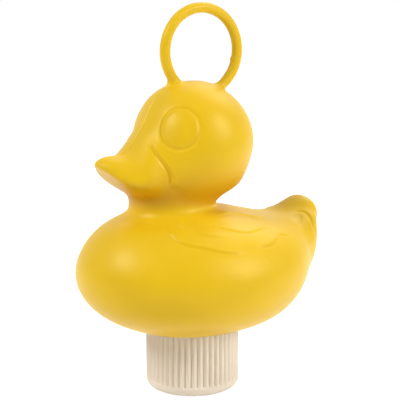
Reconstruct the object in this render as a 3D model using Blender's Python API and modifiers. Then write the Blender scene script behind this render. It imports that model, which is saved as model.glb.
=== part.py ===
"""A toy duck for a hooking game: a hollow moulded duck with a hanging ring, and a screw cap with ballast.

The beak points to -Y, the duck's left side is +X and +Z is up. The origin is the centre of the cap's flat
bottom, which the duck stands on. Sizes are written in millimetres and turned into metres by MM.
"""
import math

import bmesh
import bpy
import numpy as np
from mathutils import Matrix, Vector

MM = 0.001

# Screw cap, with the ballast and the wad in it
CAP_RADIUS = 17.0 * MM
CAP_HEIGHT = 22.7 * MM
CAP_WALL = 1.3 * MM
CAP_FLOOR = 1.6 * MM
CAP_EDGE_RADIUS = 2.6 * MM
RIB_COUNT = 48
RIB_DEPTH = 0.5 * MM
BALLAST_HEIGHT = 6.5 * MM
BALLAST_EDGE = 0.5 * MM
WAD_THICKNESS = 1.0 * MM

# Clearances: between pieces that touch, and for the thread between the bottle neck and the cap
SEAT_GAP = 0.3 * MM
THREAD_ROOM = 0.8 * MM

# Duck's moulded wall, and the wall of the bottle neck under its belly
WALL = 1.5 * MM
BOTTLE_NECK_WALL = 1.7 * MM

# Body: its reach from the cap's axis, and how far its round belly would pass the cap's rim
BODY_FRONT = 43.8 * MM
BODY_BACK = 46.7 * MM
BODY_HALF_WIDTH = 35.8 * MM
BODY_HEIGHT = 43.9 * MM
BELLY_SINK = 3.6 * MM
BELLY_HEIGHT = CAP_HEIGHT + SEAT_GAP - BELLY_SINK
SHOULDER_HEIGHT = BELLY_HEIGHT + BODY_HEIGHT

# Neck
NECK_LEAD = 8.4 * MM
NECK_HALF_LENGTH = 15.8 * MM
NECK_HALF_WIDTH = 14.8 * MM
NECK_RISE = 5.1 * MM

# Head: a ball above a jaw that reaches further forward
HEAD_RADIUS = 22.0 * MM
HEAD_HALF_WIDTH = 21.1 * MM
HEAD_RISE = 26.3 * MM
HEAD_HEIGHT = SHOULDER_HEIGHT + HEAD_RISE
JAW_LEAD = 1.7 * MM
JAW_INSET = 2.0 * MM
JAW_DROP = 10.0 * MM

# Beak
BEAK_LENGTH = 38.9 * MM
BEAK_DROP = 5.1 * MM
BEAK_HALF_WIDTH = 14.8 * MM
BEAK_TIP_HEIGHT = HEAD_HEIGHT - BEAK_DROP

# Eyes: the direction from the head's centre to each eye, and the groove around it
EYE_TURN = math.radians(45.8)
EYE_RISE = math.radians(19.0)
EYE_WIDTH = 13.4 * MM
EYE_HEIGHT = 14.8 * MM
EYE_GROOVE = 0.7 * MM

# Tail: a curled middle lobe, and a shorter lobe on each side of it
TAIL_REACH = 4.6 * MM
TAIL_RISE = 0.5 * MM
TAIL_HALF_WIDTH = 13.5 * MM
TAIL_SIDE_HALF_WIDTH = 8.1 * MM
TAIL_SIDE_OFFSET = 8.0 * MM
TAIL_SIDE_DROP = 2.6 * MM
TAIL_SIDE_LEAD = 4.5 * MM

# Wings: how far each layer of feathers stands out, and how far the layers reach above and below the shoulder
FEATHER_STEP = 0.5 * MM
FEATHER_ABOVE = 1.7 * MM
FEATHER_BELOW = 11.3 * MM
FEATHER_OVERLAP = 1.0 * MM

# Hanging ring
RING_RADIUS = 15.1 * MM
RING_ROD = 3.9 * MM
RING_SET_BACK = 4.0 * MM
RING_SINK = 4.8 * MM

# How far one form runs into another that it is joined to or cut from, and how close two points are to be one
OVERLAP = 1.0 * MM
MERGE = 0.01 * MM

# Shares of the body's front reach, back reach and half width, and of its height in front and behind
BODY_RINGS = (
    (0.47, 0.49, 0.49, 0.080, 0.080),
    (0.85, 0.83, 0.835, 0.264, 0.251),
    (1.00, 1.00, 1.00, 0.606, 0.629),
    (0.879, 0.897, 0.844, 0.863, 0.875),
    (0.680, 0.525, 0.598, 0.995, 1.000),
)
# The neck's rings: how far each is above its narrowest place, how much wider it is, and how far further back
NECK_RINGS = (
    (-3.0 * MM, 1.9 * MM, 0.2 * MM),
    (0.0, 0.0, 0.0),
    (5.6 * MM, 4.1 * MM, 3.9 * MM),
)
# Angles above the head's widest ring, where the head is a ball
HEAD_ANGLES = (0, 38, 67)
# The beak's rings from root to tip: the share of its length, the heights of its upper, widest and lower
# line from the tip, and the share of its half width
BEAK_RINGS = (
    (0.42, 11.6 * MM, -6.0 * MM, -12.8 * MM, 1.00),
    (0.56, 10.0 * MM, -6.6 * MM, -12.3 * MM, 0.97),
    (0.70, 4.4 * MM, -6.6 * MM, -10.8 * MM, 0.82),
    (0.83, 2.7 * MM, -5.5 * MM, -6.9 * MM, 0.61),
    (0.94, 2.3 * MM, -2.4 * MM, -3.0 * MM, 0.34),
)
BEAK_ROOT = (0.24, -4.0 * MM)
# A tail lobe's rings from root to tip: a point on its upper line and one on its lower line, each as its
# reach and height from the tip, and the share of the half width
TAIL_RINGS = (
    (-26.6 * MM, -2.8 * MM, -13.6 * MM, -25.8 * MM, 1.15),
    (-20.1 * MM, -2.0 * MM, -5.1 * MM, -20.8 * MM, 1.05),
    (-13.6 * MM, -0.8 * MM, -0.4 * MM, -13.3 * MM, 0.88),
    (-7.6 * MM, 1.4 * MM, 1.4 * MM, -6.8 * MM, 0.66),
    (-3.3 * MM, 2.1 * MM, 1.2 * MM, -3.3 * MM, 0.40),
)
TAIL_ROOT = (-33.0 * MM, -17.0 * MM)
# Outlines of the left wing's feathers seen from above, the lowest layer first, as shares of the body's half
# width and of its reach behind
FEATHERS = (
    ((0.48, -0.41), (0.60, -0.39), (0.74, -0.28), (0.85, -0.11), (0.88, 0.01),
     (0.82, 0.11), (0.61, 0.26), (0.48, 0.17), (0.50, -0.09)),
    ((0.51, -0.30), (0.58, -0.26), (0.68, -0.14), (0.75, 0.01), (0.83, 0.18),
     (0.80, 0.34), (0.70, 0.44), (0.50, 0.41), (0.52, 0.00)),
    ((0.54, -0.13), (0.57, -0.11), (0.61, -0.04), (0.67, 0.09), (0.69, 0.25),
     (0.63, 0.40), (0.50, 0.50), (0.47, 0.30), (0.51, 0.13)),
)

# Sides and rings of the lofts
CORE_SEGMENTS = (48, 38)
CAVITY_SEGMENTS = (24, 34)
BEAK_SEGMENTS = (28, 18)
TAIL_SEGMENTS = (24, 16)
BRANCH_HOLLOW_SEGMENTS = (16, 10)

# Sides of round pieces, and segments of the rings along their length and round their rod
ROUND_SIDES = 64
INNER_SIDES = 48
RING_SEGMENTS = (40, 10)
GROOVE_SEGMENTS = (28, 8)
CAP_EDGE_STEPS = 5

# Angles above which an edge is shaded sharp, in degrees
SHARP_ANGLE = 40
RIB_SHARP_ANGLE = 30


def clear_scene():
    for item in list(bpy.data.objects):
        bpy.data.objects.remove(item, do_unlink=True)


def make_collection(name):
    collection = bpy.data.collections.new(name)
    bpy.context.scene.collection.children.link(collection)
    return collection


def make_material(name, colour, roughness, metallic=0.0):
    material = bpy.data.materials.new(name)
    material.use_nodes = True
    shader = material.node_tree.nodes["Principled BSDF"]
    shader.inputs["Base Color"].default_value = (*colour, 1.0)
    shader.inputs["Roughness"].default_value = roughness
    shader.inputs["Metallic"].default_value = metallic
    return material


def add_object(name, bm, collection):
    mesh = bpy.data.meshes.new(name)
    bm.to_mesh(mesh)
    bm.free()
    item = bpy.data.objects.new(name, mesh)
    collection.objects.link(item)
    return item


def as_cutter(item):
    item.hide_render = True
    item.display_type = "WIRE"
    return item


def boolean(target, tool, operation):
    modifier = target.modifiers.new(tool.name, "BOOLEAN")
    modifier.operation = operation
    modifier.object = tool
    modifier.solver = "EXACT"


def shade_round(item, angle):
    item.data.shade_smooth()
    item.data.set_sharp_from_angle(angle=math.radians(angle))


class SmoothLine:
    """The natural cubic spline through a row of stations, read by its share of the way along."""

    def __init__(self, stations):
        self.points = np.array(stations, float)
        steps = np.linalg.norm(np.diff(self.points, axis=0), axis=1)
        self.knots = np.concatenate(([0.0], np.cumsum(steps)))
        self.bends = self.solve_bends()

    def solve_bends(self):
        gaps = np.diff(self.knots)
        slopes = np.diff(self.points, axis=0) / gaps[:, None]
        count = len(self.knots)
        matrix = np.eye(count)
        right_side = np.zeros_like(self.points)
        for i in range(1, count - 1):
            matrix[i, i - 1] = gaps[i - 1]
            matrix[i, i] = 2 * (gaps[i - 1] + gaps[i])
            matrix[i, i + 1] = gaps[i]
            right_side[i] = 6 * (slopes[i] - slopes[i - 1])
        return np.linalg.solve(matrix, right_side)

    def at(self, place):
        i = int(np.clip(np.searchsorted(self.knots, place) - 1, 0, len(self.knots) - 2))
        gap = self.knots[i + 1] - self.knots[i]
        before = (place - self.knots[i]) / gap
        after = 1 - before
        bend = (after ** 3 - after) * self.bends[i] + (before ** 3 - before) * self.bends[i + 1]
        return after * self.points[i] + before * self.points[i + 1] + bend * gap * gap / 6


def ring(low, middle, high, half_width):
    """A station of a loft: three points (y, z) on the plane of symmetry, and a half width at the middle."""
    return (*low, *middle, *high, half_width)


def level_ring(front, front_height, back, back_height, half_width):
    centre = ((front + back) / 2, (front_height + back_height) / 2)
    return ring((front, front_height), centre, (back, back_height), half_width)


def pole(y, z):
    return ring((y, z), (y, z), (y, z), 0.0)


def turned_over(station):
    """The same ring met from the other side of a pole, which keeps the loft smooth through its ends."""
    low, middle, high, half_width = station[0:2], station[2:4], station[4:6], station[6]
    return ring(high, middle, low, -half_width)


def loft(name, stations, segments, collection, outset=0.0, side_offset=0.0):
    """A closed ball whose latitudes follow the stations, from the first pole to the last."""
    extended = [turned_over(stations[2]), turned_over(stations[1]), *stations]
    extended += [turned_over(stations[-2]), turned_over(stations[-3])]
    line = SmoothLine(extended)
    start, end = line.knots[2], line.knots[-3]
    bm = bmesh.new()
    bmesh.ops.create_uvsphere(bm, u_segments=segments[0], v_segments=segments[1], radius=1.0)
    for vertex in bm.verts:
        share = math.acos(max(-1.0, min(1.0, -vertex.co.z))) / math.pi
        turn = math.atan2(vertex.co.x, -vertex.co.y)
        row = line.at(start + share * (end - start))
        low, middle, high, half_width = row[0:2], row[2:4], row[4:6], row[6]
        lean = math.cos(turn)
        towards = low if lean > 0 else high
        y, z = middle + (towards - middle) * abs(lean)
        vertex.co = (side_offset + half_width * math.sin(turn), y, z)
    if bm.calc_volume(signed=True) < 0:
        bmesh.ops.reverse_faces(bm, faces=bm.faces)
    bm.normal_update()
    normals = [vertex.normal.copy() for vertex in bm.verts]
    for vertex, normal in zip(bm.verts, normals):
        vertex.co += normal * outset
    item = add_object(name, bm, collection)
    item.data.shade_smooth()
    return item


def core_stations():
    """Rings of the body, neck and head, from the belly to the crown."""
    stations = [pole((BODY_BACK - BODY_FRONT) / 2, BELLY_HEIGHT)]
    for front, back, width, front_rise, back_rise in BODY_RINGS:
        stations.append(level_ring(
            -front * BODY_FRONT, BELLY_HEIGHT + front_rise * BODY_HEIGHT,
            back * BODY_BACK, BELLY_HEIGHT + back_rise * BODY_HEIGHT, width * BODY_HALF_WIDTH))
    for rise, spread, lean in NECK_RINGS:
        stations.append(neck_ring(rise, spread, lean))
    jaw = HEAD_HEIGHT - JAW_DROP
    stations.append(level_ring(
        -HEAD_RADIUS - JAW_LEAD, jaw, HEAD_RADIUS - JAW_INSET, jaw, HEAD_HALF_WIDTH - JAW_INSET))
    for angle in HEAD_ANGLES:
        reach = math.cos(math.radians(angle))
        rise = HEAD_HEIGHT + HEAD_RADIUS * math.sin(math.radians(angle))
        stations.append(level_ring(
            -reach * HEAD_RADIUS, rise, reach * HEAD_RADIUS, rise, reach * HEAD_HALF_WIDTH))
    stations.append(pole(0.0, HEAD_HEIGHT + HEAD_RADIUS))
    return stations


def neck_ring(rise, spread, lean):
    """A ring of the neck, raised, widened or moved back from its narrowest place."""
    half_length = NECK_HALF_LENGTH + spread
    half_width = NECK_HALF_WIDTH + spread / 2
    centre = lean - NECK_LEAD
    height = SHOULDER_HEIGHT + NECK_RISE + rise
    return level_ring(centre - half_length, height, centre + half_length, height, half_width)


def beak_stations():
    """Rings of the beak, from inside the head to its tip: an arched roof over a flatter underside."""
    stations = [pole(-BEAK_ROOT[0] * BEAK_LENGTH, BEAK_TIP_HEIGHT + BEAK_ROOT[1])]
    for share, upper, widest, lower, width in BEAK_RINGS:
        y = -share * BEAK_LENGTH
        stations.append(ring(
            (y, BEAK_TIP_HEIGHT + lower), (y, BEAK_TIP_HEIGHT + widest), (y, BEAK_TIP_HEIGHT + upper),
            width * BEAK_HALF_WIDTH))
    stations.append(pole(-BEAK_LENGTH, BEAK_TIP_HEIGHT))
    return stations


def tail_stations(tip, tip_height, half_width):
    """Rings of one lobe of the tail, from its root inside the body to its curled tip."""
    stations = [pole(tip + TAIL_ROOT[0], tip_height + TAIL_ROOT[1])]
    for upper_reach, upper_rise, lower_reach, lower_rise, width in TAIL_RINGS:
        stations.append(level_ring(
            tip + upper_reach, tip_height + upper_rise, tip + lower_reach, tip_height + lower_rise,
            width * half_width))
    stations.append(pole(tip, tip_height))
    return stations


def tail_lobes(collection, outset=0.0, suffix=""):
    segments = TAIL_SEGMENTS if outset == 0 else BRANCH_HOLLOW_SEGMENTS
    tip = BODY_BACK + TAIL_REACH
    tip_height = SHOULDER_HEIGHT + TAIL_RISE
    middle = tail_stations(tip, tip_height, TAIL_HALF_WIDTH)
    side = tail_stations(tip - TAIL_SIDE_LEAD, tip_height - TAIL_SIDE_DROP, TAIL_SIDE_HALF_WIDTH)
    lobes = [loft("tail_middle" + suffix, middle, segments, collection, outset)]
    for name, direction in (("tail_left", 1), ("tail_right", -1)):
        lobes.append(loft(name + suffix, side, segments, collection, outset, direction * TAIL_SIDE_OFFSET))
    return lobes


def feather_prism(name, layer, outline, mirrored, collection):
    """A prism over one feather's outline, seen from above, a little taller for each layer."""
    low = SHOULDER_HEIGHT - FEATHER_BELOW - layer * FEATHER_OVERLAP
    high = SHOULDER_HEIGHT + FEATHER_ABOVE + layer * FEATHER_OVERLAP
    curve = bpy.data.curves.new(name, "CURVE")
    curve.dimensions = "2D"
    curve.fill_mode = "BOTH"
    curve.extrude = (high - low) / 2
    curve.resolution_u = 3
    spline = curve.splines.new("NURBS")
    spline.points.add(len(outline) - 1)
    side = -1 if mirrored else 1
    for point, (x, y) in zip(spline.points, outline):
        point.co = (side * x * BODY_HALF_WIDTH, y * BODY_BACK, 0.0, 1.0)
    spline.use_cyclic_u = True
    spline.order_u = 3
    item = bpy.data.objects.new(name, curve)
    item.location.z = (high + low) / 2
    collection.objects.link(item)
    return curve_to_mesh(item, collection)


def curve_to_mesh(item, collection):
    bpy.context.view_layer.update()
    depsgraph = bpy.context.evaluated_depsgraph_get()
    mesh = bpy.data.meshes.new_from_object(item.evaluated_get(depsgraph))
    bm = bmesh.new()
    bm.from_mesh(mesh)
    bmesh.ops.remove_doubles(bm, verts=bm.verts, dist=MERGE)
    bmesh.ops.recalc_face_normals(bm, faces=bm.faces)
    bm.to_mesh(mesh)
    bm.free()
    solid = bpy.data.objects.new(item.name, mesh)
    solid.matrix_world = item.matrix_world
    collection.objects.link(solid)
    bpy.data.objects.remove(item, do_unlink=True)
    return solid


def wing_feathers(collection):
    """Feathers of both wings, each a skin a little outside the body, kept inside its own outline."""
    feathers = []
    for side_name, mirrored in (("left", False), ("right", True)):
        for layer, outline in enumerate(FEATHERS, start=1):
            name = f"feather_{side_name}_{layer}"
            prism = as_cutter(feather_prism(name + "_outline", layer, outline, mirrored, collection))
            skin = loft(name, core_stations(), CORE_SEGMENTS, collection, layer * FEATHER_STEP)
            boolean(skin, prism, "INTERSECT")
            feathers.append(as_cutter(skin))
    return feathers


def eye_frame(direction):
    """A frame on the head at the eye's centre: X along its width, Y along its height and Z outwards."""
    out = Vector((
        direction * math.sin(EYE_TURN) * math.cos(EYE_RISE),
        -math.cos(EYE_TURN) * math.cos(EYE_RISE),
        math.sin(EYE_RISE)))
    across = Vector((0, 0, 1)).cross(out).normalized()
    up = out.cross(across)
    frame = Matrix((across, up, out)).transposed().to_4x4()
    frame.translation = Vector((0, 0, HEAD_HEIGHT)) + out * HEAD_RADIUS
    return frame


def eye_grooves(collection):
    """The ring-shaped cutters of the grooves around the eyes, bent to follow the head."""
    grooves = []
    for side_name, direction in (("left", 1), ("right", -1)):
        bpy.ops.mesh.primitive_torus_add(
            major_radius=EYE_WIDTH / 2, minor_radius=EYE_GROOVE,
            major_segments=GROOVE_SEGMENTS[0], minor_segments=GROOVE_SEGMENTS[1])
        groove = bpy.context.object
        groove.name = f"eye_groove_{side_name}"
        for vertex in groove.data.vertices:
            vertex.co.y *= EYE_HEIGHT / EYE_WIDTH
            vertex.co.z -= head_sag(vertex.co.x, vertex.co.y)
        groove.matrix_world = eye_frame(direction)
        move_to(groove, collection)
        grooves.append(as_cutter(groove))
    return grooves


def head_sag(x, y):
    """How far the head's ball lies under its tangent plane, beside the point of contact."""
    return HEAD_RADIUS - math.sqrt(HEAD_RADIUS ** 2 - x * x - y * y)


def move_to(item, collection):
    for owner in list(item.users_collection):
        owner.objects.unlink(item)
    collection.objects.link(item)


def cylinder(name, radius, low, high, collection, sides=ROUND_SIDES):
    bm = bmesh.new()
    bmesh.ops.create_cone(bm, cap_ends=True, segments=sides, radius1=radius, radius2=radius, depth=high - low)
    bmesh.ops.translate(bm, vec=(0, 0, (low + high) / 2), verts=bm.verts)
    return add_object(name, bm, collection)


def hanging_ring(collection):
    bpy.ops.mesh.primitive_torus_add(
        major_radius=RING_RADIUS, minor_radius=RING_ROD / 2,
        major_segments=RING_SEGMENTS[0], minor_segments=RING_SEGMENTS[1])
    item = bpy.context.object
    item.name = "hanging_ring"
    centre = (0.0, RING_SET_BACK, HEAD_HEIGHT + HEAD_RADIUS + RING_RADIUS - RING_SINK)
    item.matrix_world = Matrix.Translation(centre) @ Matrix.Rotation(math.radians(90), 4, "Y")
    move_to(item, collection)
    return as_cutter(item)


def cap_inner_radius():
    return CAP_RADIUS - RIB_DEPTH - CAP_WALL


def wad_bottom():
    return CAP_FLOOR + SEAT_GAP + BALLAST_HEIGHT + SEAT_GAP


def bottle_rim():
    return wad_bottom() + WAD_THICKNESS + SEAT_GAP


def duck_body(collection, tools, material):
    """The moulded duck: its outer forms joined, its inside hollowed, and its bottle neck opened."""
    body = loft("duck_body", core_stations(), CORE_SEGMENTS, collection)
    added = [as_cutter(loft("beak", beak_stations(), BEAK_SEGMENTS, tools))]
    added += [as_cutter(lobe) for lobe in tail_lobes(tools)]
    added += wing_feathers(tools)
    added.append(hanging_ring(tools))
    neck_radius = cap_inner_radius() - THREAD_ROOM
    seat_height = CAP_HEIGHT + SEAT_GAP
    seat = as_cutter(cylinder("cap_seat", CAP_RADIUS + SEAT_GAP, bottle_rim(), seat_height, tools))
    boolean(body, seat, "DIFFERENCE")
    added.append(as_cutter(cylinder("bottle_neck", neck_radius, bottle_rim(), seat_height + OVERLAP, tools)))
    for tool in added:
        boolean(body, tool, "UNION")
    for tool in eye_grooves(tools):
        boolean(body, tool, "DIFFERENCE")
    boolean(body, hollow_inside(neck_radius - BOTTLE_NECK_WALL, seat_height, tools), "DIFFERENCE")
    body.data.materials.append(material)
    shade_round(body, SHARP_ANGLE)
    return body


def hollow_inside(bore_radius, seat_height, tools):
    """The space inside: the outer forms moved in by the wall, a flat floor over the cap, and the bore."""
    space = as_cutter(loft("cavity", core_stations(), CAVITY_SEGMENTS, tools, -WALL))
    floor_height = seat_height + WALL
    floor_radius = CAP_RADIUS + SEAT_GAP + WALL
    floor = cylinder("hollow_floor", floor_radius, bottle_rim(), floor_height, tools)
    boolean(space, as_cutter(floor), "DIFFERENCE")
    branches = [loft("beak_hollow", beak_stations(), BRANCH_HOLLOW_SEGMENTS, tools, -WALL)]
    branches += tail_lobes(tools, -WALL, "_hollow")
    branches.append(cylinder(
        "neck_bore", bore_radius, bottle_rim() - OVERLAP, floor_height + OVERLAP, tools, INNER_SIDES))
    for tool in branches:
        boolean(space, as_cutter(tool), "UNION")
    return space


def cap_base_profile():
    """Outline of the smooth cup under the ribs, from the mouth's edge down to the middle of the floor."""
    radius = CAP_RADIUS - RIB_DEPTH
    points = [(radius, CAP_HEIGHT - OVERLAP)]
    for i in range(CAP_EDGE_STEPS + 1):
        angle = math.radians(90) * i / CAP_EDGE_STEPS
        points.append((
            radius - CAP_EDGE_RADIUS * (1 - math.cos(angle)),
            CAP_EDGE_RADIUS * (1 - math.sin(angle))))
    points.append((0.0, 0.0))
    return points


def turned(name, profile, collection, sides):
    """A solid of revolution round Z; its profile runs down its outer side."""
    bm = bmesh.new()
    verts = [bm.verts.new((radius, 0.0, z)) for radius, z in profile]
    for first, second in zip(verts, verts[1:]):
        bm.edges.new((first, second))
    item = add_object(name, bm, collection)
    screw = item.modifiers.new("turn", "SCREW")
    screw.axis = "Z"
    screw.steps = sides
    screw.render_steps = sides
    screw.use_merge_vertices = True
    screw.merge_threshold = MERGE
    return item


def rib_sleeve(collection):
    """A sleeve with the cap's upright ribs, each with two points on its crest and two in its groove."""
    bm = bmesh.new()
    bmesh.ops.create_cone(
        bm, cap_ends=True, segments=4 * RIB_COUNT, radius1=CAP_RADIUS, radius2=CAP_RADIUS,
        depth=CAP_HEIGHT - CAP_EDGE_RADIUS)
    bmesh.ops.translate(bm, vec=(0, 0, (CAP_HEIGHT + CAP_EDGE_RADIUS) / 2), verts=bm.verts)
    pitch = 2 * math.pi / RIB_COUNT
    for vertex in bm.verts:
        angle = math.atan2(vertex.co.y, vertex.co.x)
        crest = math.cos(angle * RIB_COUNT + pitch) > 0
        radius = CAP_RADIUS if crest else CAP_RADIUS - RIB_DEPTH
        vertex.co.x = radius * math.cos(angle)
        vertex.co.y = radius * math.sin(angle)
    return add_object("rib_sleeve", bm, collection)


def screw_cap(collection, tools, material):
    profile = [(0.0, CAP_HEIGHT - OVERLAP)] + cap_base_profile()
    cap = turned("screw_cap", profile, collection, ROUND_SIDES)
    boolean(cap, as_cutter(rib_sleeve(tools)), "UNION")
    bore = cylinder("cap_bore", cap_inner_radius(), CAP_FLOOR, CAP_HEIGHT + OVERLAP, tools)
    boolean(cap, as_cutter(bore), "DIFFERENCE")
    cap.data.materials.append(material)
    shade_round(cap, RIB_SHARP_ANGLE)
    return cap


def ballast_weight(collection, material):
    low = CAP_FLOOR + SEAT_GAP
    radius = cap_inner_radius() - SEAT_GAP
    weight = cylinder("ballast_weight", radius, low, low + BALLAST_HEIGHT, collection, INNER_SIDES)
    bevel = weight.modifiers.new("edge", "BEVEL")
    bevel.width = BALLAST_EDGE
    bevel.segments = 2
    bevel.limit_method = "ANGLE"
    weight.data.materials.append(material)
    shade_round(weight, SHARP_ANGLE)
    return weight


def sealing_wad(collection, material):
    low = wad_bottom()
    radius = cap_inner_radius() - SEAT_GAP
    wad = cylinder("sealing_wad", radius, low, low + WAD_THICKNESS, collection, INNER_SIDES)
    wad.data.materials.append(material)
    shade_round(wad, SHARP_ANGLE)
    return wad


def build():
    clear_scene()
    duck = make_collection("hook_duck")
    tools = make_collection("cutters")
    yellow = make_material("duck_yellow", (0.83, 0.50, 0.02), 0.35)
    cream = make_material("cap_cream", (0.75, 0.66, 0.52), 0.5)
    steel = make_material("ballast_steel", (0.55, 0.55, 0.57), 0.45, 1.0)
    foam = make_material("wad_white", (0.8, 0.8, 0.78), 0.8)
    duck_body(duck, tools, yellow)
    screw_cap(duck, tools, cream)
    ballast_weight(duck, steel)
    sealing_wad(duck, foam)


build()
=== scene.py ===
"""A toy duck for a hooking game: a hollow moulded duck with a hanging ring, on a ribbed screw cap.

Lengths in the tables are millimetres. The beak points to -Y, the duck's left is +X and +Z is up.
"""
import math

import bmesh
import bpy
import numpy as np
from mathutils import Matrix, Vector
from mathutils.bvhtree import BVHTree


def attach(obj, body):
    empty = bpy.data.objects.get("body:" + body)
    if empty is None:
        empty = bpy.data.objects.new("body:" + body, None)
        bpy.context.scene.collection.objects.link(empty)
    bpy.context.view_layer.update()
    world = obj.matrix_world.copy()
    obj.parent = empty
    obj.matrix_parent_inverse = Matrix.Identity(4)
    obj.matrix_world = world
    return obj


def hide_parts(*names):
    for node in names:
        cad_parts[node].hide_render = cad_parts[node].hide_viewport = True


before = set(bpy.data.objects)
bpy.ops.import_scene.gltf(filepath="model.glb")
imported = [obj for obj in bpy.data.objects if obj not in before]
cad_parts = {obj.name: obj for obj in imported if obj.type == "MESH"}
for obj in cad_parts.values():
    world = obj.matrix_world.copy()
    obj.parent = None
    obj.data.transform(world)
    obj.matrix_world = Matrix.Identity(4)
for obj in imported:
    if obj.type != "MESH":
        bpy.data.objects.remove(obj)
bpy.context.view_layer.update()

MM = 0.001

# Rings of the body, neck and head, each level or nearly so: front y and z, back y and z, half width
CORE_RINGS = (
    (1.3, 19.4, 1.3, 19.4, 0.0),
    (-19.9, 22.7, 23.6, 22.7, 17.5),
    (-36.8, 31.0, 38.6, 30.4, 30.9),
    (-43.8, 46.0, 46.7, 47.0, 35.8),
    (-38.6, 57.3, 42.0, 57.8, 29.2),
    (-30.3, 63.1, 24.6, 63.3, 20.8),
    (-25.8, 65.2, 11.2, 66.5, 16.2),
    (-24.5, 67.2, 7.4, 67.8, 13.8),
    (-24.5, 69.6, 9.5, 70.1, 13.6),
    (-24.8, 74.0, 16.9, 74.0, 15.7),
    (-23.7, 80.0, 20.2, 80.0, 19.0),
    (-22.0, 90.0, 22.2, 90.0, 21.1),
    (-17.4, 103.3, 17.2, 103.3, 16.6),
    (-9.2, 109.9, 8.4, 109.9, 8.2),
    (0.0, 111.6, 0.0, 111.6, 0.0),
)
# Rings of the beak from its root to its tip: y, heights of its roof, widest line and underside, half width
BEAK_RINGS = (
    (-9.3, 80.5, 80.5, 80.5, 0.0),
    (-16.3, 97.0, 79.2, 71.8, 11.6),
    (-21.8, 95.5, 78.2, 72.2, 13.2),
    (-27.2, 88.3, 77.9, 73.7, 12.0),
    (-32.3, 87.0, 79.0, 77.7, 8.9),
    (-36.5, 86.5, 82.1, 82.0, 5.0),
    (-38.9, 84.5, 84.5, 84.5, 0.0),
)
# Rings of the tail's wide fan and of its raised middle, from root to tip: y and z on the upper line,
# y and z on the lower line, half width
FAN_RINGS = (
    (17.0, 46.0, 17.0, 46.0, 0.0),
    (24.0, 59.0, 39.5, 34.5, 21.0),
    (31.0, 60.2, 47.6, 41.5, 19.0),
    (37.0, 61.4, 49.9, 48.5, 16.2),
    (42.0, 62.6, 50.7, 54.0, 13.0),
    (46.3, 63.0, 50.9, 58.5, 9.6),
    (50.0, 62.2, 50.0, 62.2, 0.0),
)
PLUME_RINGS = (
    (24.0, 50.0, 24.0, 50.0, 0.0),
    (30.0, 59.0, 42.0, 46.0, 9.5),
    (35.5, 60.9, 47.5, 49.5, 9.6),
    (40.5, 63.4, 52.2, 53.5, 9.2),
    (45.4, 65.5, 53.9, 57.8, 8.0),
    (48.8, 66.1, 53.1, 61.3, 5.6),
    (51.3, 64.5, 51.3, 64.5, 0.0),
)

# Skin of the duck, its wall, and the joins between its forms with their reach and rounds of smoothing
SKIN_SIZE = 0.74
WALL = 1.5
BROW_HEIGHT = 86.0
JOINS = (
    ("core", "beak", 6.0, 93),
    ("core", "fan", 7.5, 154),
    ("core", "plume", 4.0, 47),
    ("fan", "plume", 2.0, 11),
    ("core", "ring", 3.0, 20),
)

# Hanging ring
RING_RADIUS = 15.1
RING_ROD = 3.9
RING_CENTRE = (0.0, 4.0, 121.9)
RING_WEB_CENTRE = (0.0, -8.1, 110.9)
RING_WEB_HALF_SIZES = (1.2, 3.3, 1.7)
RING_WEB_TILT = math.radians(28)
RING_NICK_ANGLE = math.radians(-14)

# Screw cap, bottle neck and thread
CAP_RADIUS = 17.0
CAP_HEIGHT = 22.7
CAP_INNER_RADIUS = 15.2
CAP_FLOOR = 1.6
CAP_EDGE_RADIUS = 3.2
CAP_SIDES = 768
RIB_COUNT = 48
RIB_DEPTH = 0.9
RIB_START = 3.4
SEAT_GAP = 0.3
BOTTLE_RIM = 10.0
BOTTLE_NECK_RADIUS = 14.4
BOTTLE_BORE_RADIUS = 12.7
THREAD_PITCH = 4.0
THREAD_HEIGHT = 0.5
THREAD_WIDTH = 1.5

# Seam on the plane x = 0 of the head, where the two halves of the mould met
SEAM_HEIGHT = 0.26
SEAM_LOW = 82.0
SEAM_HIGH = 112.0
SEAM_HALF_WIDTH = 0.30

# Painted shade under the head and the beak: height of its middle and reach up and down
PAINTED_SHADE_HEIGHT = 72.5
PAINTED_SHADE_REACH = 7.0

# Camera: turn from the beak's side and height, in degrees
CAMERA_AZIMUTH = 57.3
CAMERA_ELEVATION = 10.17

# Eyes: direction from the head's centre, and half width and half height of the groove
EYE_TURN = math.radians(45.8)
EYE_RISE = math.radians(19.0)
HEAD_CENTRE = (0.0, 0.0, 90.0)
EYE_HALF_WIDTH = 6.7
EYE_HALF_HEIGHT = 7.25

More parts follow.
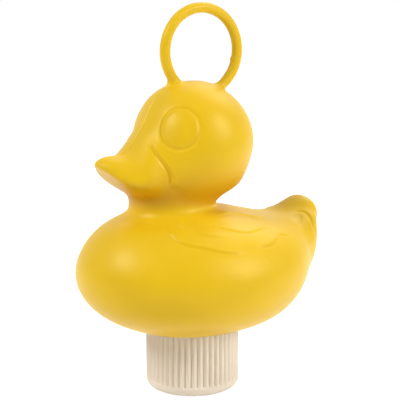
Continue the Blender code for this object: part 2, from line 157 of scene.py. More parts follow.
# Lines on the duck's left side, as points on its skin; the right side mirrors them
CHEEK_LINE = (
    (6.9, -22.3, 93.0), (7.8, -21.4, 91.5), (10.0, -21.1, 89.2), (11.5, -20.2, 86.9), (12.4, -19.2, 85.2),
    (13.2, -18.1, 83.5), (13.8, -17.2, 81.8), (14.0, -16.8, 80.0), (13.8, -16.9, 78.3), (13.1, -17.4, 76.3),
)
WING_LINES = {
    "outer": ((14.5, -19.8, 65.0), (18.4, -20.8, 62.4), (21.5, -20.2, 60.8), (24.4, -18.4, 59.4),
              (27.4, -13.7, 58.3), (29.4, -9.9, 57.3), (31.1, -5.8, 56.3), (32.0, -1.1, 55.7), (32.0, 3.0, 55.9)),
    "second": ((13.2, -15.7, 67.2), (17.7, -15.8, 64.3), (21.0, -13.2, 62.9), (23.4, -11.1, 61.9),
               (25.4, -7.2, 61.2), (26.8, -1.8, 60.6)),
    "third": ((17.0, -8.0, 65.6), (21.3, -4.5, 63.5), (23.8, 0.2, 62.3), (25.7, 6.4, 61.0),
              (24.4, 12.2, 61.1), (22.3, 18.8, 60.9)),
    "top": ((15.5, 1.4, 65.5), (14.2, 11.1, 64.1), (15.2, 19.3, 62.7), (13.8, 24.9, 61.9)),
    "end": ((30.1, 5.6, 57.7), (30.8, 9.9, 56.6), (29.6, 14.6, 56.9), (25.9, 19.8, 58.7)),
    "tail": ((25.7, 19.5, 58.9), (24.3, 26.4, 57.2)),
}
# Crease between the tail's near fan and its raised middle, from the rear over the top to the front
FAN_CREASE = (
    (15.6, 43.6, 52.6), (15.2, 43.6, 55.4), (13.4, 43.6, 58.4), (11.2, 43.6, 60.4), (9.4, 42.8, 61.2),
    (8.6, 40.8, 61.2), (9.6, 37.6, 60.4),
)


def deselect_all():
    bpy.ops.object.select_all(action="DESELECT")


def select_only(item):
    deselect_all()
    item.select_set(True)
    bpy.context.view_layer.objects.active = item


def apply_modifiers(item):
    select_only(item)
    for modifier in list(item.modifiers):
        bpy.ops.object.modifier_apply(modifier=modifier.name)


def apply_place(item):
    select_only(item)
    bpy.ops.object.transform_apply(location=True, rotation=True, scale=True)


class SmoothLine:
    """The natural cubic spline through a row of stations, read by its length along."""

    def __init__(self, stations):
        self.points = np.array(stations, float)
        steps = np.linalg.norm(np.diff(self.points, axis=0), axis=1)
        self.knots = np.concatenate(([0.0], np.cumsum(steps)))
        gaps = np.diff(self.knots)
        slopes = np.diff(self.points, axis=0) / gaps[:, None]
        matrix = np.eye(len(self.knots))
        right_side = np.zeros_like(self.points)
        for i in range(1, len(self.knots) - 1):
            matrix[i, i - 1] = gaps[i - 1]
            matrix[i, i] = 2 * (gaps[i - 1] + gaps[i])
            matrix[i, i + 1] = gaps[i]
            right_side[i] = 6 * (slopes[i] - slopes[i - 1])
        self.bends = np.linalg.solve(matrix, right_side)

    def at(self, place):
        place = np.atleast_1d(place)
        i = np.clip(np.searchsorted(self.knots, place) - 1, 0, len(self.knots) - 2)
        gap = self.knots[i + 1] - self.knots[i]
        before = (place - self.knots[i]) / gap
        after = 1 - before
        bend = ((after ** 3 - after)[:, None] * self.bends[i] + (before ** 3 - before)[:, None] * self.bends[i + 1])
        return after[:, None] * self.points[i] + before[:, None] * self.points[i + 1] + bend * (gap * gap / 6)[:, None]


def level_station(row):
    front_y, front_z, back_y, back_z, half_width = row
    return (front_y, front_z, (front_y + back_y) / 2, (front_z + back_z) / 2, back_y, back_z, half_width)


def beak_station(row):
    y, roof, widest, underside, half_width = row
    return (y, underside, y, widest, y, roof, half_width)


def turned_over(station):
    """The same ring met from the other side of a pole, which keeps a loft smooth through its ends."""
    return (*station[4:6], *station[2:4], *station[0:2], -station[6])


def loft(name, stations, segments, rings, outset=0.0):
    """A ball whose rings follow the stations, from the first pole to the last."""
    extended = [turned_over(stations[2]), turned_over(stations[1]), *stations]
    extended += [turned_over(stations[-2]), turned_over(stations[-3])]
    line = SmoothLine(extended)
    start, end = line.knots[2], line.knots[-3]
    deselect_all()
    bpy.ops.mesh.primitive_uv_sphere_add(segments=segments, ring_count=rings, radius=1.0)
    item = bpy.context.object
    item.name = name
    places = np.empty(len(item.data.vertices) * 3)
    item.data.vertices.foreach_get("co", places)
    places = places.reshape(-1, 3)
    share = np.arccos(np.clip(-places[:, 2], -1.0, 1.0)) / math.pi
    turn = np.arctan2(places[:, 0], -places[:, 1])
    rows = line.at(start + share * (end - start))
    lean = np.cos(turn)
    towards = np.where(lean[:, None] > 0, rows[:, 0:2], rows[:, 4:6])
    middle = rows[:, 2:4]
    moved = np.empty_like(places)
    moved[:, 0] = rows[:, 6] * np.sin(turn)
    moved[:, 1:3] = middle + (towards - middle) * np.abs(lean)[:, None]
    bm = bmesh.new()
    bm.from_mesh(item.data)
    for vertex, place in zip(bm.verts, moved):
        vertex.co = Vector(place) * MM
    if bm.calc_volume(signed=True) < 0:
        bmesh.ops.reverse_faces(bm, faces=bm.faces)
    bm.normal_update()
    normals = [vertex.normal.copy() for vertex in bm.verts]
    for vertex, normal in zip(bm.verts, normals):
        vertex.co += normal * outset * MM
    bm.to_mesh(item.data)
    bm.free()
    return item


def hanging_ring():
    deselect_all()
    bpy.ops.mesh.primitive_torus_add(
        major_radius=RING_RADIUS * MM, minor_radius=RING_ROD / 2 * MM, major_segments=192, minor_segments=32,
        location=Vector(RING_CENTRE) * MM, rotation=(0, math.radians(90), 0))
    ring = bpy.context.object
    apply_place(ring)
    return ring


def ring_web():
    """The thin web that fills the corner between the ring's front foot and the crown."""
    deselect_all()
    bpy.ops.mesh.primitive_uv_sphere_add(
        segments=48, ring_count=32, radius=1.0, location=Vector(RING_WEB_CENTRE) * MM,
        rotation=(RING_WEB_TILT, 0, 0))
    web = bpy.context.object
    web.scale = Vector(RING_WEB_HALF_SIZES) * MM
    apply_place(web)
    return web


def vertex_places(item):
    places = np.empty(len(item.data.vertices) * 3)
    item.data.vertices.foreach_get("co", places)
    return places.reshape(-1, 3) / MM


def vertex_normals(item):
    normals = np.empty(len(item.data.vertices) * 3)
    item.data.vertices.foreach_get("normal", normals)
    return normals.reshape(-1, 3)


def set_places(item, places):
    item.data.vertices.foreach_set("co", (places * MM).ravel())
    item.data.update()


def smooth_step(value):
    value = np.clip(value, 0.0, 1.0)
    return value * value * (3 - 2 * value)


def distances(tree, places):
    return np.array([tree.find_nearest(Vector(place) * MM)[3] / MM for place in places])


def soften(item, weights, rounds):
    """Smooths the skin where the weights are high."""
    group = item.vertex_groups.new(name="soft")
    steps = np.round(weights * 20).astype(int)
    for step in range(1, 21):
        group.add(np.flatnonzero(steps == step).tolist(), step / 20, "REPLACE")
    modifier = item.modifiers.new("soften", "SMOOTH")
    modifier.factor = 0.5
    modifier.iterations = rounds
    modifier.vertex_group = "soft"
    apply_modifiers(item)
    item.vertex_groups.clear()


def join(items, name):
    deselect_all()
    for item in items:
        item.select_set(True)
    bpy.context.view_layer.objects.active = items[0]
    bpy.ops.object.join()
    items[0].name = name
    items[0].data.name = name
    return items[0]


def duck_skin():
    """The duck's outer forms as one skin, with the joins between them rounded."""
    forms = {
        "core": loft("core", [level_station(row) for row in CORE_RINGS], 192, 160),
        "beak": loft("beak", [beak_station(row) for row in BEAK_RINGS], 96, 64),
        "fan": loft("fan", [level_station(row) for row in FAN_RINGS], 96, 64),
        "plume": loft("plume", [level_station(row) for row in PLUME_RINGS], 96, 64),
        "ring": hanging_ring(),
    }
    depsgraph = bpy.context.evaluated_depsgraph_get()
    trees = {name: BVHTree.FromObject(form, depsgraph) for name, form in forms.items()}
    skin = join([*forms.values(), ring_web()], "duck_shell")
    modifier = skin.modifiers.new("skin", "REMESH")
    modifier.mode = "VOXEL"
    modifier.voxel_size = SKIN_SIZE * MM
    apply_modifiers(skin)
    round_joins(skin, trees)
    return skin


def round_joins(skin, trees):
    places = vertex_places(skin)
    away = {name: distances(tree, places) for name, tree in trees.items()}
    for first, second, reach, rounds in JOINS:
        soften(skin, smooth_step(1.3 - np.maximum(away[first], away[second]) / reach), rounds)
    brow = smooth_step((places[:, 2] - BROW_HEIGHT) / 4.0)
    soften(skin, brow * smooth_step(1.3 - np.maximum(away["core"], away["beak"]) / 9.0), 124)
    soften(skin, np.where(places[:, 2] < 112.0, 1.0, 0.3), 4)


def eye_axes(direction):
    out = np.array((
        direction * math.sin(EYE_TURN) * math.cos(EYE_RISE),
        -math.cos(EYE_TURN) * math.cos(EYE_RISE),
        math.sin(EYE_RISE)))
    across = np.cross((0.0, 0.0, 1.0), out)
    across /= np.linalg.norm(across)
    return across, np.cross(out, across), out


def eye_relief(places):
    """Each eye: a shallow groove round a low dome."""
    height = np.zeros(len(places))
    for direction in (1, -1):
        across, up, out = eye_axes(direction)
        local = places - np.array(HEAD_CENTRE)
        facing = local @ out > 0.6 * np.linalg.norm(local, axis=1)
        u, v = local @ across / EYE_HALF_WIDTH, local @ up / EYE_HALF_HEIGHT
        radius = np.hypot(u, v)
        edge = (radius - 1) * EYE_HALF_WIDTH
        groove = -0.45 * np.exp(-(edge / 0.62) ** 2)
        dome = 0.35 * np.clip(1 - radius ** 2, 0, 1)
        near = facing & (radius < 2.0) & (np.linalg.norm(local, axis=1) < 26)
        height += np.where(near, groove + dome, 0.0)
    return height


def nick_relief(places):
    """A small raised line of flash across the inner side of the ring's rear arm."""
    local = places - np.array(RING_CENTRE)
    turn = np.arctan2(local[:, 2], local[:, 1])
    along = (turn - RING_NICK_ANGLE) * RING_RADIUS
    inwards = np.hypot(local[:, 1], local[:, 2]) < RING_RADIUS - 0.4
    near = inwards & (places[:, 2] > 112.0) & (np.abs(along) < 3.0)
    return np.where(near, 0.45 * np.exp(-(along / 0.4) ** 2), 0.0)


def dropped_on(points, places, normals):
    """The points moved along the nearest normals onto the skin."""
    nearest = np.linalg.norm(places[None, :, :] - points[:, None, :], axis=2).argmin(axis=1)
    depth = np.einsum("ij,ij->i", places[nearest] - points, normals[nearest])
    return points + normals[nearest] * depth[:, None]


def line_relief(places, normals, line, raised, edge, reach, groove, fades, flip=1):
    """A step along a line of the skin: one side stands proud at the line and sinks back over its reach."""
    height = np.zeros(len(places))
    smooth = SmoothLine(line)
    count = 80
    for side in (1, -1):
        along = np.linspace(0, smooth.knots[-1], count)
        points = smooth.at(along) * np.array((side, 1, 1))
        lowest, highest = points.min(0) - 3 * reach, points.max(0) + 3 * reach
        near = np.flatnonzero(np.all((places > lowest) & (places < highest), axis=1))
        points = dropped_on(points, places[near], normals[near])
        tangents = np.gradient(points, axis=0)
        tangents /= np.linalg.norm(tangents, axis=1)[:, None]
        gaps = np.linalg.norm(places[near, None, :] - points[None, :, :], axis=2)
        nearest = gaps.argmin(axis=1)
        offset = places[near] - points[nearest]
        across = np.cross(normals[near], tangents[nearest])
        signed = np.einsum("ij,ij->i", offset, across) * side * flip
        distance = gaps[np.arange(len(near)), nearest]
        beyond = np.sqrt(np.maximum(distance ** 2 - signed ** 2, 0))
        share = nearest / (count - 1)
        strength = smooth_step(share / fades[0]) * smooth_step((1 - share) / fades[1])
        strength *= np.exp(-(beyond / 2.5) ** 2)
        step = 1 / (1 + np.exp(-signed * 4 / edge))
        profile = raised * step * np.exp(-np.maximum(signed, 0) / reach)
        profile -= groove * np.exp(-((signed + 0.5 * edge) / (0.7 * edge)) ** 2)
        height[near] += strength * profile
    return height


def refine(item, chosen):
    """Halves the mesh size over the chosen vertices."""
    select_only(item)
    bpy.ops.object.mode_set(mode="EDIT")
    bpy.ops.mesh.select_mode(type="FACE")
    bpy.ops.mesh.select_all(action="DESELECT")
    bm = bmesh.from_edit_mesh(item.data)
    bm.verts.ensure_lookup_table()
    for face in bm.faces:
        if any(chosen[vertex.index] for vertex in face.verts):
            face.select_set(True)
    bmesh.update_edit_mesh(item.data)
    bpy.ops.mesh.subdivide(number_cuts=1)
    bpy.ops.object.mode_set(mode="OBJECT")


def near_line(places, line, reach):
    smooth = SmoothLine(line)
    points = smooth.at(np.linspace(0, smooth.knots[-1], 40))
    mirrored = places * np.array((1, 1, 1))
    mirrored[:, 0] = np.abs(mirrored[:, 0])
    chosen = np.zeros(len(places), bool)
    box = np.all((mirrored > points.min(0) - reach) & (mirrored < points.max(0) + reach), axis=1)
    inside = np.flatnonzero(box)
    gaps = np.linalg.norm(mirrored[inside, None, :] - points[None, :, :], axis=2).min(axis=1)
    chosen[inside] = gaps < reach
    return chosen


def sculpt_duck(skin):
    """Eyes, cheek creases and the feathers of the wings."""
    places = vertex_places(skin)
    fine = near_line(places, CHEEK_LINE, 2.5)
    for line in (*WING_LINES.values(), FAN_CREASE):
        fine |= near_line(places, line, 2.2)
    for direction in (1, -1):
        out = eye_axes(direction)[2]
        local = places - np.array(HEAD_CENTRE)
        angle = local @ out / np.linalg.norm(local, axis=1)
        fine |= (angle > 0.91) & (np.linalg.norm(local, axis=1) < 25)
    refine(skin, fine)
    soften(skin, np.ones(len(skin.data.vertices)), 1)
    for reach in (1.3, 0.7):
        places = vertex_places(skin)
        refine(skin, (np.abs(places[:, 0]) < reach) & (places[:, 2] > SEAM_LOW) & (places[:, 2] < SEAM_HIGH))
    places, normals = vertex_places(skin), vertex_normals(skin)
    height = eye_relief(places)
    height += line_relief(places, normals, CHEEK_LINE, 0.65, 0.9, 4.5, 0.38, (0.25, 0.12))
    for name, raised, reach, fades in (
            ("outer", 0.55, 4.0, (0.2, 0.2)), ("second", 0.5, 3.0, (0.3, 0.3)), ("third", 0.45, 3.0, (0.35, 0.25)),
            ("top", 0.55, 2.5, (0.2, 0.3)), ("end", 0.45, 3.0, (0.3, 0.3)), ("tail", 0.35, 2.0, (0.3, 0.5))):
        height += line_relief(places, normals, WING_LINES[name], raised, 0.8, reach, 0.14, fades)
    height += line_relief(places, normals, FAN_CREASE, 0.8, 1.3, 4.0, 0.9, (0.3, 0.7))
    height += nick_relief(places)
    seam = smooth_step((places[:, 2] - SEAM_LOW) / 4.0) * smooth_step((SEAM_HIGH - places[:, 2]) / 2.0)
    height += SEAM_HEIGHT * seam * np.exp(-(places[:, 0] / SEAM_HALF_WIDTH) ** 2)
    set_places(skin, places + normals * height[:, None])


def mark_painted_shade(item):
    """Marks the downward-facing skin under the head and the beak, where shade is painted into the colour as a deeper
    orange.
    """
    places, normals = vertex_places(item), vertex_normals(item)
    # Painted shade: strongest at its middle height on skin that faces down, kept off the bore
    height = np.exp(-((places[:, 2] - PAINTED_SHADE_HEIGHT) / PAINTED_SHADE_REACH) ** 2)
    under = smooth_step((0.3 - normals[:, 2]) / 0.6)
    outside = np.hypot(places[:, 0], places[:, 1] + 8.0) > BOTTLE_BORE_RADIUS
    painted_shade = item.data.attributes.new("painted_shade", "FLOAT", "POINT")
    painted_shade.data.foreach_set("value", (height * under * outside).astype(np.float32))


def cylinder(name, radius, low, high, sides):
    deselect_all()
    bpy.ops.mesh.primitive_cylinder_add(
        vertices=sides, radius=radius * MM, depth=(high - low) * MM, location=(0, 0, (low + high) / 2 * MM))
    item = bpy.context.object
    item.name = name
    apply_place(item)
    return item


def cut_or_add(target, tool, operation):
    modifier = target.modifiers.new("join", "BOOLEAN")
    modifier.operation = operation
    modifier.object = tool
    modifier.solver = "MANIFOLD"
    apply_modifiers(target)
    bpy.data.objects.remove(tool, do_unlink=True)


def thread(name, radius, inwards, low, turns, start_turn):
    """A right-hand thread ridge that fades into its wall at both ends."""
    direction = -1 if inwards else 1
    root = radius - direction * 0.3
    crest = radius + direction * THREAD_HEIGHT
    outline = ((root, -0.5), (crest, -0.22), (crest, 0.22), (root, 0.5))
    mesh = bpy.data.meshes.new(name)
    mesh.from_pydata([(r * MM, 0, z * THREAD_WIDTH * MM) for r, z in outline], [(0, 1), (1, 2), (2, 3), (3, 0)], [])
    item = bpy.data.objects.new(name, mesh)
    bpy.context.scene.collection.objects.link(item)
    screw = item.modifiers.new("screw", "SCREW")
    screw.steps = 96
    screw.render_steps = 96
    screw.iterations = turns
    screw.screw_offset = THREAD_PITCH * MM
    apply_modifiers(item)
    bm = bmesh.new()
    bm.from_mesh(item.data)
    bmesh.ops.remove_doubles(bm, verts=bm.verts, dist=1e-7)
    bmesh.ops.holes_fill(bm, edges=[edge for edge in bm.edges if edge.is_boundary], sides=0)
    bmesh.ops.recalc_face_normals(bm, faces=bm.faces)
    length = turns * THREAD_PITCH
    for vertex in bm.verts:
        here = math.hypot(vertex.co.x, vertex.co.y) / MM
        share = min(max(vertex.co.z / MM / length, 0.0), 1.0)
        fade = float(smooth_step(min(share, 1 - share) * turns * 8))
        if abs(here - crest) < 0.01:
            scale = (root + direction * 0.1 + (crest - root - direction * 0.1) * fade) / here
            vertex.co.x *= scale
            vertex.co.y *= scale
    bm.to_mesh(item.data)
    bm.free()
    item.location.z = low * MM
    item.rotation_euler.z = start_turn
    apply_place(item)
    return item


def hollow_duck(skin):
    """Cuts the cap's seat, adds the threaded bottle neck and opens the hollow behind it."""
    seat = CAP_HEIGHT + SEAT_GAP
    cut_or_add(skin, cylinder("seat", CAP_RADIUS + SEAT_GAP, BOTTLE_RIM, seat, 192), "DIFFERENCE")
    cut_or_add(skin, cylinder("neck", BOTTLE_NECK_RADIUS, BOTTLE_RIM, seat + 1.0, 192), "UNION")
    space = loft("space", [level_station(row) for row in CORE_RINGS], 64, 60, -WALL)
    floor = cylinder("floor", CAP_RADIUS + SEAT_GAP + WALL, BOTTLE_RIM, seat + WALL, 96)
    cut_or_add(space, floor, "DIFFERENCE")
    bore = cylinder("bore", BOTTLE_BORE_RADIUS, BOTTLE_RIM - 1.0, seat + WALL + 1.0, 96)
    cut_or_add(space, bore, "UNION")
    cut_or_add(skin, space, "DIFFERENCE")
    ridge = thread("ridge", BOTTLE_NECK_RADIUS, False, BOTTLE_RIM + 1.8, 2, 0.0)
    return join([skin, ridge], "duck_shell")


def bisect(height):
    bpy.ops.mesh.select_all(action="SELECT")
    bpy.ops.mesh.bisect(plane_co=(0, 0, height * MM), plane_no=(0, 0, 1), use_fill=False)


def select_faces(item, test):
    bpy.ops.mesh.select_all(action="DESELECT")
    bm = bmesh.from_edit_mesh(item.data)
    for face in bm.faces:
        if test(face):
            face.select_set(True)
    bmesh.update_edit_mesh(item.data)


def select_edges(item, test):
    bpy.ops.mesh.select_all(action="DESELECT")
    bm = bmesh.from_edit_mesh(item.data)
    for edge in bm.edges:
        if test(edge):
            edge.select_set(True)
    bmesh.update_edit_mesh(item.data)


def ribbed_cap():
    """A cup with a rounded foot, soft upright ribs and a thread inside."""
    cap = cylinder("cap_shell", CAP_RADIUS, 0.0, CAP_HEIGHT, CAP_SIDES)
    select_only(cap)
    bpy.ops.object.mode_set(mode="EDIT")
    bpy.ops.mesh.select_mode(type="FACE")
    select_faces(cap, lambda face: face.normal.z > 0.9)
    bpy.ops.mesh.inset(thickness=(CAP_RADIUS - CAP_INNER_RADIUS) * MM)
    bpy.ops.mesh.extrude_region_move(
        TRANSFORM_OT_translate={"value": (0, 0, (CAP_FLOOR - CAP_HEIGHT) * MM)})
    bpy.ops.mesh.select_mode(type="EDGE")
    select_edges(cap, lambda edge: all(
        vertex.co.z < 0.1 * MM and vertex.co.xy.length > 10 * MM for vertex in edge.verts))
    bpy.ops.mesh.bevel(offset=CAP_EDGE_RADIUS * MM, segments=8, profile=0.5)
    for step in (0.0, 0.25, 0.5, 0.8, 1.2, 1.7, 8.0, 14.0):
        bisect(RIB_START + step)
    bisect(CAP_HEIGHT - 0.5)
    bpy.ops.object.mode_set(mode="OBJECT")
    places = vertex_places(cap)
    radius = np.hypot(places[:, 0], places[:, 1])
    angle = np.arctan2(places[:, 1], places[:, 0])
    groove = 1 - (0.5 + 0.5 * np.cos(angle * RIB_COUNT)) ** 0.45
    rise = np.sqrt(1 - (1 - np.clip((places[:, 2] - RIB_START) / 1.2, 0, 1)) ** 2)
    outer = (radius > CAP_RADIUS - 0.01) & (places[:, 2] > CAP_EDGE_RADIUS)
    scale = np.where(outer, 1 - RIB_DEPTH * groove * rise / CAP_RADIUS, 1.0)
    places[:, 0:2] *= scale[:, None]
    set_places(cap, places)
    ridge = thread("cap_ridge", CAP_INNER_RADIUS, True, BOTTLE_RIM + 1.8 + THREAD_PITCH / 2, 2, 0.0)
    return join([cap, ridge], "cap_shell")


def shade(item, angle):
    select_only(item)
    bpy.ops.object.shade_smooth_by_angle(angle=math.radians(angle))


def new_material(name):
    material = bpy.data.materials.new(name)
    material.use_nodes = True
    nodes = material.node_tree.nodes
    return material, nodes, material.node_tree.links, nodes["Principled BSDF"]


def moulded_grain_group():
    """Mottle, sheen variation and fine grain of moulded plastic."""
    group = bpy.data.node_groups.new("moulded_grain", "ShaderNodeTree")
    sockets = group.interface
    for name, kind, value in (
            ("Light", "NodeSocketColor", (1, 1, 1, 1)), ("Deep", "NodeSocketColor", (0, 0, 0, 1)),
            ("Gloss", "NodeSocketFloat", 0.35), ("Matt", "NodeSocketFloat", 0.5)):
        socket = sockets.new_socket(name, in_out="INPUT", socket_type=kind)
        socket.default_value = value
    sockets.new_socket("Colour", in_out="OUTPUT", socket_type="NodeSocketColor")
    sockets.new_socket("Roughness", in_out="OUTPUT", socket_type="NodeSocketFloat")
    sockets.new_socket("Height", in_out="OUTPUT", socket_type="NodeSocketFloat")
    nodes, links = group.nodes, group.links
    start = nodes.new("NodeGroupInput")
    end = nodes.new("NodeGroupOutput")
    place = nodes.new("ShaderNodeTexCoord")
    mottle = nodes.new("ShaderNodeTexNoise")
    mottle.inputs["Scale"].default_value = 90.0
    mottle.inputs["Detail"].default_value = 3.0
    grain = nodes.new("ShaderNodeTexNoise")
    grain.inputs["Scale"].default_value = 1100.0
    grain.inputs["Detail"].default_value = 2.0
    for texture in (mottle, grain):
        links.new(place.outputs["Object"], texture.inputs["Vector"])
    colour = nodes.new("ShaderNodeMix")
    colour.data_type = "RGBA"
    links.new(mottle.outputs["Fac"], colour.inputs[0])
    links.new(start.outputs["Deep"], colour.inputs[6])
    links.new(start.outputs["Light"], colour.inputs[7])
    sheen = nodes.new("ShaderNodeMix")
    links.new(mottle.outputs["Fac"], sheen.inputs[0])
    links.new(start.outputs["Gloss"], sheen.inputs[2])
    links.new(start.outputs["Matt"], sheen.inputs[3])
    links.new(colour.outputs[2], end.inputs["Colour"])
    links.new(sheen.outputs[0], end.inputs["Roughness"])
    links.new(grain.outputs["Fac"], end.inputs["Height"])
    return group


def moulded_plastic(name, group, light, deep, gloss, matt, grain_height, sheen_tint=(1, 1, 1)):
    material, nodes, links, shader = new_material(name)
    grain = nodes.new("ShaderNodeGroup")
    grain.node_tree = group
    grain.inputs["Light"].default_value = (*light, 1)
    grain.inputs["Deep"].default_value = (*deep, 1)
    grain.inputs["Gloss"].default_value = gloss
    grain.inputs["Matt"].default_value = matt
    bump = nodes.new("ShaderNodeBump")
    bump.inputs["Strength"].default_value = 1.0
    bump.inputs["Distance"].default_value = grain_height * MM
    links.new(grain.outputs["Colour"], shader.inputs["Base Color"])
    links.new(grain.outputs["Roughness"], shader.inputs["Roughness"])
    links.new(grain.outputs["Height"], bump.inputs["Height"])
    links.new(bump.outputs["Normal"], shader.inputs["Normal"])
    shader.inputs["Specular IOR Level"].default_value = 0.40
    shader.inputs["Specular Tint"].default_value = (*sheen_tint, 1)
    return material


def paint_shade_under_head(material, colour):
    """Painted shade: mixes the base colour towards the given deeper orange where the skin under the head and the beak
    is marked.
    """
    nodes, links = material.node_tree.nodes, material.node_tree.links
    shader = nodes["Principled BSDF"]
    plain = shader.inputs["Base Color"].links[0].from_socket
    shade_mask = nodes.new("ShaderNodeAttribute")
    shade_mask.attribute_name = "painted_shade"
    tone = nodes.new("ShaderNodeMix")
    tone.data_type = "RGBA"
    # The colour of the painted shade
    tone.inputs[7].default_value = (*colour, 1)
    links.new(shade_mask.outputs["Fac"], tone.inputs[0])
    links.new(plain, tone.inputs[6])
    links.new(tone.outputs[2], shader.inputs["Base Color"])


def brushed_steel():
    material, nodes, links, shader = new_material("ballast_grey_steel")
    shader.inputs["Metallic"].default_value = 1.0
    place = nodes.new("ShaderNodeTexCoord")
    stretch = nodes.new("ShaderNodeMapping")
    stretch.inputs["Scale"].default_value = (400, 4000, 400)
    links.new(place.outputs["Object"], stretch.inputs["Vector"])
    streaks = nodes.new("ShaderNodeTexNoise")
    streaks.inputs["Scale"].default_value = 1.0
    links.new(stretch.outputs["Vector"], streaks.inputs["Vector"])
    tone = nodes.new("ShaderNodeMix")
    tone.data_type = "RGBA"
    tone.inputs[6].default_value = (0.42, 0.42, 0.43, 1)
    tone.inputs[7].default_value = (0.6, 0.6, 0.61, 1)
    links.new(streaks.outputs["Fac"], tone.inputs[0])
    links.new(tone.outputs[2], shader.inputs["Base Color"])
    rough = nodes.new("ShaderNodeMapRange")
    rough.inputs["To Min"].default_value = 0.35
    rough.inputs["To Max"].default_value = 0.6
    links.new(streaks.outputs["Fac"], rough.inputs["Value"])
    links.new(rough.outputs["Result"], shader.inputs["Roughness"])
    return material


def paint(item, material):
    item.data.materials.clear()
    item.data.materials.append(material)


def white_for_camera(nodes, links):
    """1 for rays that come straight from the camera, or by way of gloss or glass."""
    path = nodes.new("ShaderNodeLightPath")
    first = nodes.new("ShaderNodeMath")
    first.operation = "MAXIMUM"
    links.new(path.outputs["Is Camera Ray"], first.inputs[0])
    links.new(path.outputs["Is Glossy Ray"], first.inputs[1])
    second = nodes.new("ShaderNodeMath")
    second.operation = "MAXIMUM"
    links.new(first.outputs[0], second.inputs[0])
    links.new(path.outputs["Is Transmission Ray"], second.inputs[1])
    return second.outputs[0]


def direction(azimuth, elevation):
    """Unit vector from the duck towards a viewer or lamp; azimuth 0 is in front of the beak."""
    a, e = math.radians(azimuth), math.radians(elevation)
    return Vector((math.sin(a) * math.cos(e), -math.cos(a) * math.cos(e), math.sin(e)))


def make_world():
    """A soft room, white to the camera, which lights the duck less from the camera's side."""
    world = bpy.data.worlds.new("studio")
    bpy.context.scene.world = world
    world.use_nodes = True
    nodes, links = world.node_tree.nodes, world.node_tree.links
    background = nodes["Background"]
    background.inputs["Color"].default_value = (1, 1, 1, 1)
    place = nodes.new("ShaderNodeTexCoord")
    split = nodes.new("ShaderNodeSeparateXYZ")
    links.new(place.outputs["Generated"], split.inputs[0])
    sky = nodes.new("ShaderNodeMapRange")
    sky.inputs["To Min"].default_value = 0.18
    sky.inputs["To Max"].default_value = 0.50
    links.new(split.outputs["Z"], sky.inputs["Value"])
    towards = nodes.new("ShaderNodeVectorMath")
    towards.operation = "DOT_PRODUCT"
    towards.inputs[1].default_value = direction(CAMERA_AZIMUTH + 5, 0)
    links.new(place.outputs["Generated"], towards.inputs[0])
    dim = nodes.new("ShaderNodeMapRange")
    dim.inputs["From Min"].default_value = 0.0
    dim.inputs["From Max"].default_value = 0.9
    dim.inputs["To Min"].default_value = 1.0
    dim.inputs["To Max"].default_value = 0.15
    links.new(towards.outputs["Value"], dim.inputs["Value"])
    both = nodes.new("ShaderNodeMath")
    both.operation = "MULTIPLY"
    links.new(sky.outputs["Result"], both.inputs[0])
    links.new(dim.outputs["Result"], both.inputs[1])
    strength = nodes.new("ShaderNodeMix")
    links.new(both.outputs[0], strength.inputs[2])
    strength.inputs[3].default_value = 1.0
    links.new(white_for_camera(nodes, links), strength.inputs[0])
    links.new(strength.outputs[0], background.inputs["Strength"])


def make_floor():
    deselect_all()
    bpy.ops.mesh.primitive_plane_add(size=8.0, location=(0, 0, 0))
    floor = bpy.context.object
    floor.name = "floor"
    material, nodes, links, shader = new_material("floor_white")
    shader.inputs["Base Color"].default_value = (0.88, 0.88, 0.88, 1)
    shader.inputs["Roughness"].default_value = 0.9
    shader.inputs["Specular IOR Level"].default_value = 0.0
    glow = nodes.new("ShaderNodeEmission")
    glow.inputs["Strength"].default_value = 0.8
    both = nodes.new("ShaderNodeAddShader")
    choose = nodes.new("ShaderNodeMixShader")
    output = nodes["Material Output"]
    links.new(shader.outputs[0], both.inputs[0])
    links.new(glow.outputs[0], both.inputs[1])
    links.new(white_for_camera(nodes, links), choose.inputs[0])
    links.new(shader.outputs[0], choose.inputs[1])
    links.new(both.outputs[0], choose.inputs[2])
    links.new(choose.outputs[0], output.inputs["Surface"])
    paint(floor, material)


def aim(item, place, target):
    back = (place - target).normalized()
    right = Vector((0, 0, 1)).cross(back).normalized()
    up = back.cross(right)
    matrix = Matrix((right, up, back)).transposed().to_4x4()
    matrix.translation = place
    item.matrix_world = matrix


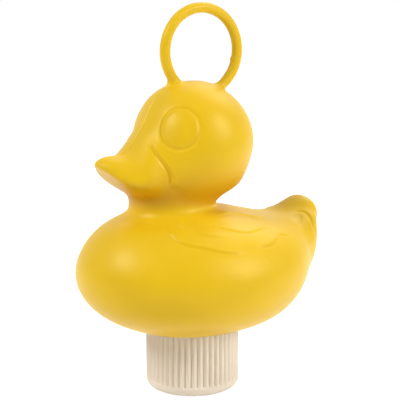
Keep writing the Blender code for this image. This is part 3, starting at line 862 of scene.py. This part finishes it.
def make_camera():
    data = bpy.data.cameras.new("camera")
    camera = bpy.data.objects.new("camera", data)
    bpy.context.scene.collection.objects.link(camera)
    right = Vector((math.cos(math.radians(CAMERA_AZIMUTH)), math.sin(math.radians(CAMERA_AZIMUTH)), 0))
    target = Vector((0, 0, 68.7 * MM)) + right * 2.8 * MM
    aim(camera, target + direction(CAMERA_AZIMUTH, CAMERA_ELEVATION) * 430 * MM, target)
    data.sensor_width = 36
    data.lens = 107.73
    data.clip_start = 0.01
    data.clip_end = 20
    bpy.context.scene.camera = camera


def lamp(name, side_turn, elevation, distance, width, height, power, colour):
    """A soft box, turned by side_turn from the camera's azimuth."""
    data = bpy.data.lights.new(name, "AREA")
    data.shape = "RECTANGLE"
    data.size = width
    data.size_y = height
    data.energy = power
    data.color = colour
    item = bpy.data.objects.new(name, data)
    bpy.context.scene.collection.objects.link(item)
    target = Vector((0, 0, 60 * MM))
    aim(item, target + direction(CAMERA_AZIMUTH + side_turn, elevation) * distance, target)


def make_lights():
    lamp("key_right", 66, 28, 0.7, 0.16, 0.36, 2.7, (1, 0.98, 0.95))
    lamp("fill_left", -58, 40, 0.8, 0.20, 0.26, 3.4, (1, 0.98, 0.96))
    lamp("top_back", 145, 50, 0.8, 0.5, 0.4, 1.8, (1, 0.97, 0.95))


scene = bpy.context.scene
scene.view_settings.view_transform = "Standard"

duck = duck_skin()
sculpt_duck(duck)
duck = hollow_duck(duck)
# Marks the skin under the head and the beak for painted shade
mark_painted_shade(duck)
shade(duck, 35)
cap = ribbed_cap()
shade(cap, 40)

grain = moulded_grain_group()
yellow = moulded_plastic(
    "duck_yellow_plastic", grain, (0.85, 0.555, 0.010), (0.80, 0.50, 0.006), 0.37, 0.46, 0.03, (1.0, 0.90, 0.55))
cream = moulded_plastic("cap_cream_plastic", grain, (0.92, 0.84, 0.73), (0.87, 0.79, 0.67), 0.45, 0.55, 0.02)
foam = moulded_plastic("wad_white_foam", grain, (0.82, 0.82, 0.79), (0.70, 0.70, 0.67), 0.8, 0.95, 0.08)
# Painted shade: a deeper orange mixed into the yellow under the head and the beak
paint_shade_under_head(yellow, (0.66, 0.34, 0.002))
paint(duck, yellow)
paint(cap, cream)
paint(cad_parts["sealing_wad"], foam)
paint(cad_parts["ballast_weight"], brushed_steel())

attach(duck, "duck")
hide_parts("duck_body")
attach(cap, "cap")
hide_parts("screw_cap")

make_world()
make_floor()
make_camera()
make_lights()
